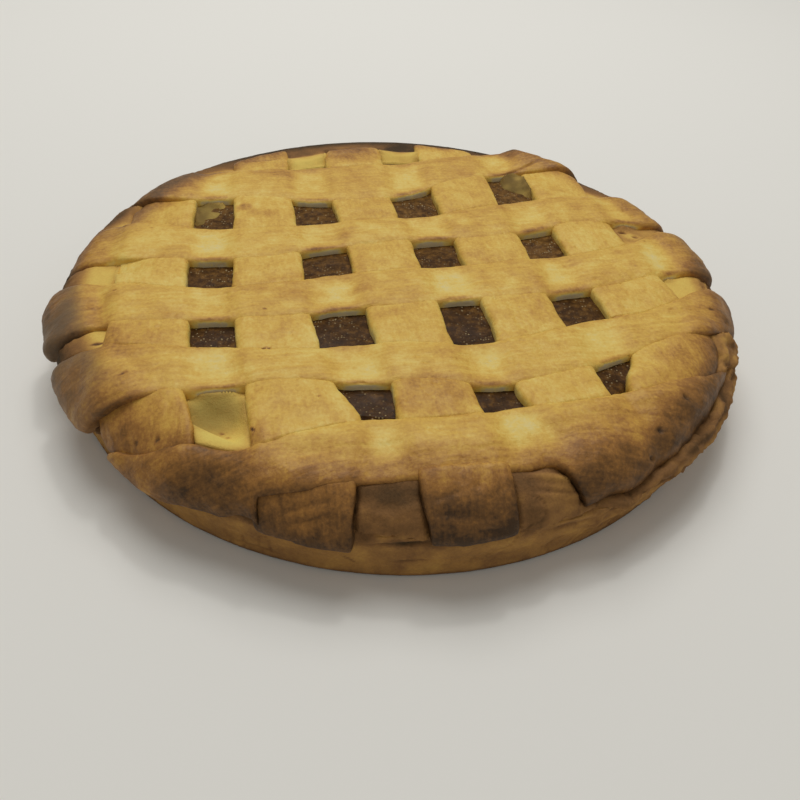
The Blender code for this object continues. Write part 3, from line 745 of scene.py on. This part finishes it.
def knead(body, seed):
    """Pushes a strip's surface in and out along its normals: wide soft waves, finer crust,
    streaks along it from the brush and the knife, and coarse lumps at its browned ends."""
    grid = body["grid"]
    normal = outwards(grid, True)
    middle = grid.mean(axis=1, keepdims=True)
    sign = np.where(np.einsum("ijk,ijk->ij", normal, grid - middle).mean() > 0, 1.0, -1.0)
    skin = ease((body["up"] - 0.05) / 0.2)
    streak = rough(body["own"] * np.array([0.09, 1.0, 1.0]), 1.9, seed + 5, 2)
    ends = ease((body["s"] - 100.0) / 12.0)
    push = 0.34 * rough(grid, 15.0, 200, 2) + 0.15 * rough(grid, 4.2, 201, 3) \
        + 0.10 * streak * (1.0 - 0.5 * ends) + ends * 0.30 * rough(grid, 5.5, 202, 3)
    pits = humps(grid, 1.5, seed + 3)
    push = push - 0.32 * ease((pits - 0.66) / 0.15) * ease(0.5 + rough(grid, 12.0, seed + 4, 2))
    push = push - marked(body["u"], body["v"], MARKS)[0]
    body["grid"] = grid + normal * (sign * skin * push)[..., None]
    body["streak"] = streak
    return body


def browning_and_shade(body, strip, across, seed):
    """How far each point is baked, 0 to 1, with painted shade in it: golden inside, browner over
    a crossing and along the near edge, where it is painted with shade over a gap, paler in a sag,
    and dark where the ends hang over the rim, with painted shade on their side walls; and how
    far it is scorched, at the ends on the left, the far left and the right, in a greyish brown
    that is partly a painted sheen."""
    s, u, v, up = body["s"], body["u"], body["v"], body["up"]
    grid = body["grid"]
    facing = (v * 0.98 - u * 0.22) / np.maximum(s, 1.0)       # 1 at the far side, -1 at the near
    left = -(u * 0.98 + v * 0.22) / np.maximum(s, 1.0)        # 1 at the left
    near = ease(-1.4 * facing)
    far_left = ease(1.3 * left) * ease(1.8 * facing - 0.5)
    right_back = ease(-1.2 * left) * ease(1.5 * facing + 0.6)
    rim = 0.18 * ease((s - 95.0) / 9.0) + (0.15 + 0.05 * ease(1.4 * left)) * ease((s - 105.0) / 8.0) \
        + 0.13 * far_left * ease((s - 90.0) / 9.0) + 0.10 * right_back * ease((s - 98.0) / 8.0) \
        + 0.10 * ease((facing - 0.6) / 0.3) * ease((s - 90.0) / 9.0)
    near_rim = 0.16 * ease((s - 91.0) / 12.0) + 0.28 * ease((s - 101.0) / 12.0) \
        + 0.07 * ease((s - 112.0) / 6.0)
    near_rim = near_rim * (1.0 - 0.5 * ease((facing + 0.62) / 0.12) * ease((left - 0.6) / 0.2))
    # the swollen left ends are scorched all over, the others only along their edge
    if strip["puff"][0] > 5.0:
        scorch = 0.82 * ease((s - 104.5) / 4.5)
    else:
        scorch = (0.60 if across else 0.20) * ease((s - 106.5) / 9.0)
    scorch_and_sheen = scorch * ease(1.6 * left) * (1.0 - near)**2
    scorch_and_sheen = np.maximum(scorch_and_sheen, far_left * 0.32 * ease((s - 94.0) / 8.0)) \
        + 0.45 * ease((s - 104.0) / 7.0) * ease(-1.3 * left) * (1.0 - 0.7 * near)
    scorch_and_sheen = np.clip(scorch_and_sheen * ease(0.8 + 0.5 * rough(grid, 8.0, 211, 2)), 0.0, 1.0)
    level = 0.36 + rim * (1.0 - near) + near_rim * near
    level = level + 0.085 * rough(grid, 24.0, 207, 3) + 0.07 * rough(grid, 5.0, seed + 8, 3)
    wall = ease((0.93 - up) / 0.22)
    inside = ease((104.0 - s) / 6.0)
    if across:
        # pale in the middle of a dip; browned where its near edge hangs over a gap, and painted
        # there with the shade that falls on that edge
        over = on_lower(u, v, 1.0, 6.0)
        edge = np.abs(body["across"])
        sag = (1.0 - over) * (0.19 * ease(1.05 - 1.25 * edge**2) - 0.05)
        level = level + inside * (0.01 * over - sag)
        level = level + 0.09 * ease((v - 50.0) / 14.0)
        level = level + 0.035 * body["streak"]
        # the near edge over a gap: browned, with painted shade
        level = level + (0.03 + 0.20 * (1.0 - over) * inside) \
            * ease((-body["across"] - 0.74) / 0.2) * (1.0 - wall)
        level = level - 0.55 * wall * (1.0 - over) * inside
    else:
        level = level + 0.02 * body["streak"] - 0.14 * wall * inside
        level = level + 0.10 * near * ease(1.0 - (reach(strip, v) - s) / 8.0)
    # painted shade on the side walls of the ends over the rim, then the marks
    level = level + 0.12 * wall * ease((s - 104.0) / 5.0) \
        + marked(u, v, MARKS)[1] * ease((up - 0.7) / 0.1)
    return level, scorch_and_sheen


def lay_strip(name, strip, across, seed):
    """One strip's mesh, kneaded and baked. "run" and "side" carry its own lengthwise and
    crosswise coordinates to the dough's streaks."""
    body = knead(strip_body(strip, across, seed), 200 + 31 * seed)
    level, scorch_and_sheen = browning_and_shade(body, strip, across, 200 + 31 * seed)
    return make_skin("dough_" + name, body["grid"], {
        "bake_and_shade": np.clip(level, 0.0, 1.0), "scorch_and_sheen": scorch_and_sheen,
        "run": body["own"][..., 0] * (0.11 if across else 0.30),
        "side": body["own"][..., 1] + 200.0 * seed})


dough_pieces = []
for seed, (name, strip) in enumerate(DOWN.items()):
    piece = lay_strip(name, strip, False, seed)
    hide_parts(name)
    dough_pieces.append(piece)

# ---------------------------------------------------------------------------
# The upper strips, laid across the lower ones. They stand up over each
# crossing and sag between, and their ends are thick, rounded and dark.
# ---------------------------------------------------------------------------
for seed, (name, strip) in enumerate(ACROSS.items(), start=len(DOWN)):
    piece = lay_strip(name, strip, True, seed)
    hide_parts(name)
    dough_pieces.append(piece)

# Rolled yeast dough brushed with egg and baked: a thin satin skin, golden to
# dark brown with the heat it took, mottled over a few millimetres, with fine
# wrinkles and pores about 1 mm across. Painted shade darkens the near edges over
# the gaps, the side walls of the ends over the rim and the cracks, and the greyish
# brown of the scorched ends is partly a painted sheen.
dough_look = bpy.data.materials.new("egg_washed_baked_dough")
dough_look.use_nodes = True
tree = dough_look.node_tree
tree.nodes.clear()
place = add_node(tree, "ShaderNodeTexCoord")
baked = add_node(tree, "ShaderNodeAttribute", attribute_name="bake_and_shade")
patches = add_node(tree, "ShaderNodeTexNoise", [("Vector", place, "Object"),
                   ("Scale", 1 / (9 * MM)), ("Detail", 6.0), ("Roughness", 0.70)])
pores = add_node(tree, "ShaderNodeTexNoise", [("Vector", place, "Object"),
                 ("Scale", 1 / (1.1 * MM)), ("Detail", 3.0), ("Roughness", 0.6)])
# brush marks and wrinkles 1.4 mm apart that run along each strip
run = add_node(tree, "ShaderNodeAttribute", attribute_name="run")
side = add_node(tree, "ShaderNodeAttribute", attribute_name="side")
along_strip = add_node(tree, "ShaderNodeCombineXYZ", [("X", run, "Fac"), ("Y", side, "Fac")])
wrinkles = add_node(tree, "ShaderNodeTexNoise", [("Vector", along_strip, "Vector"),
                    ("Scale", 1 / 1.4), ("Detail", 3.0), ("Roughness", 0.6)])
shift = add_node(tree, "ShaderNodeMath", [(0, patches, "Fac"), (1, 0.40), (2, -0.20)],
                 operation="MULTIPLY_ADD")
fine_shift = add_node(tree, "ShaderNodeMath", [(0, pores, "Fac"), (1, 0.32), (2, shift, 0)],
                      operation="MULTIPLY_ADD")
streak_shift = add_node(tree, "ShaderNodeMath", [(0, wrinkles, "Fac"), (1, 0.24),
                        (2, fine_shift, 0)], operation="MULTIPLY_ADD")
both = add_node(tree, "ShaderNodeMath", [(0, streak_shift, 0), (1, 0.28)], operation="SUBTRACT")
level = add_node(tree, "ShaderNodeMath", [(0, baked, "Fac"), (1, both, 0)], operation="ADD",
                 use_clamp=True)
dough_colour = add_node(tree, "ShaderNodeValToRGB", [("Fac", level, 0)])
colours(dough_colour, [(0.0, "#CEC09C"), (0.10, "#DFCA82"), (0.22, "#E2C468"), (0.36, "#D8AF50"),
                       (0.52, "#C29242"), (0.68, "#9D6D34"), (0.84, "#734F27"), (1.0, "#46311B")])
scorch_and_sheen_share = add_node(tree, "ShaderNodeAttribute", attribute_name="scorch_and_sheen")
# scorched ends: a greyish brown, which is partly a painted sheen on them
scorch_and_sheen_mix = add_node(tree, "ShaderNodeMixRGB", [("Fac", scorch_and_sheen_share, "Fac"), ("Color1", dough_colour, "Color"),
                    ("Color2", linear("#6F5D47"))], blend_type="MIX")
skin_height = add_node(tree, "ShaderNodeMath", [(0, wrinkles, "Fac"), (1, 0.8), (2, pores, "Fac")],
                       operation="MULTIPLY_ADD")
dough_bump = add_node(tree, "ShaderNodeBump", [("Height", skin_height, 0), ("Strength", 0.6),
                      ("Distance", 0.3 * MM)])
sheen = add_node(tree, "ShaderNodeMapRange", [("Value", patches, "Fac"), ("From Min", 0.3),
                 ("From Max", 0.7), ("To Min", 0.42), ("To Max", 0.60)])
shader = add_node(tree, "ShaderNodeBsdfPrincipled", [("Base Color", scorch_and_sheen_mix, "Color"),
                  ("Roughness", sheen, "Result"), ("Normal", dough_bump, "Normal"), ("IOR", 1.45),
                  ("Specular IOR Level", 0.28)])
add_node(tree, "ShaderNodeOutputMaterial", [("Surface", shader, "BSDF")])
for piece in dough_pieces:
    piece.data.materials.append(dough_look)

# ---------------------------------------------------------------------------
# The room: a pale floor, a wide soft light above and a little behind, and a
# weak even fill. Nothing here belongs to the kuchen.
# ---------------------------------------------------------------------------
floor_mesh = bpy.data.meshes.new("pale_floor")
floor_mesh.from_pydata([(-3, -3, 0), (3, -3, 0), (3, 3, 0), (-3, 3, 0)], [], [(0, 1, 2, 3)])
floor = bpy.data.objects.new("pale_floor", floor_mesh)
bpy.context.scene.collection.objects.link(floor)
floor_look = bpy.data.materials.new("matt_paper_floor")
floor_look.use_nodes = True
shader = floor_look.node_tree.nodes["Principled BSDF"]
shader.inputs["Base Color"].default_value = linear("#EBE9E2")
shader.inputs["Roughness"].default_value = 0.9
floor_mesh.materials.append(floor_look)

# name, place in metres, width in metres, watts
LIGHTS = (("overhead_soft_box", (-0.10, 0.55, 1.25), 1.1, 9.6),
          ("ceiling_lamp", (0.12, 0.60, 1.20), 0.14, 1.6),
          ("near_fill", (0.35, -1.3, 1.0), 1.4, 1.6))
for name, at, size, watts in LIGHTS:
    light = bpy.data.lights.new(name, "AREA")
    light.shape = "DISK"
    light.size = size
    light.energy = watts
    lamp = bpy.data.objects.new(name, light)
    bpy.context.scene.collection.objects.link(lamp)
    back = np.array(at) / np.linalg.norm(at)
    side = np.cross([0, 0, 1], back)
    side = side / np.linalg.norm(side)
    lamp.matrix_world = Matrix([[side[n], np.cross(back, side)[n], back[n], at[n]]
                                for n in range(3)] + [[0, 0, 0, 1]])
world = bpy.data.worlds.new("even_room")
bpy.context.scene.world = world
world.use_nodes = True
world.node_tree.nodes["Background"].inputs[0].default_value = linear("#FFFDF8")
world.node_tree.nodes["Background"].inputs[1].default_value = 0.28
bpy.context.scene.view_settings.view_transform = "Standard"

# The camera looks down at the near side from a seated eye's height.
CAMERA_AT = (0.0, -0.240465, 0.175739)
CAMERA_RIGHT = (0.9985660, 0.0248927, 0.0473961)
CAMERA_UP = (-0.0520051, 0.6611998, 0.7484051)
CAMERA_LOOK = (0.0127085, 0.7497967, -0.6615462)
FOCAL = 768.82 / 800          # focal length over the frame's width
camera_data = bpy.data.cameras.new("camera")
camera_data.sensor_width = 36.0
camera_data.lens = 36.0 * FOCAL
camera_data.clip_start = 0.01
camera = bpy.data.objects.new("camera", camera_data)
bpy.context.scene.collection.objects.link(camera)
camera.matrix_world = Matrix([[CAMERA_RIGHT[n], CAMERA_UP[n], -CAMERA_LOOK[n], CAMERA_AT[n]]
                              for n in range(3)] + [[0, 0, 0, 1]])
bpy.context.scene.camera = camera
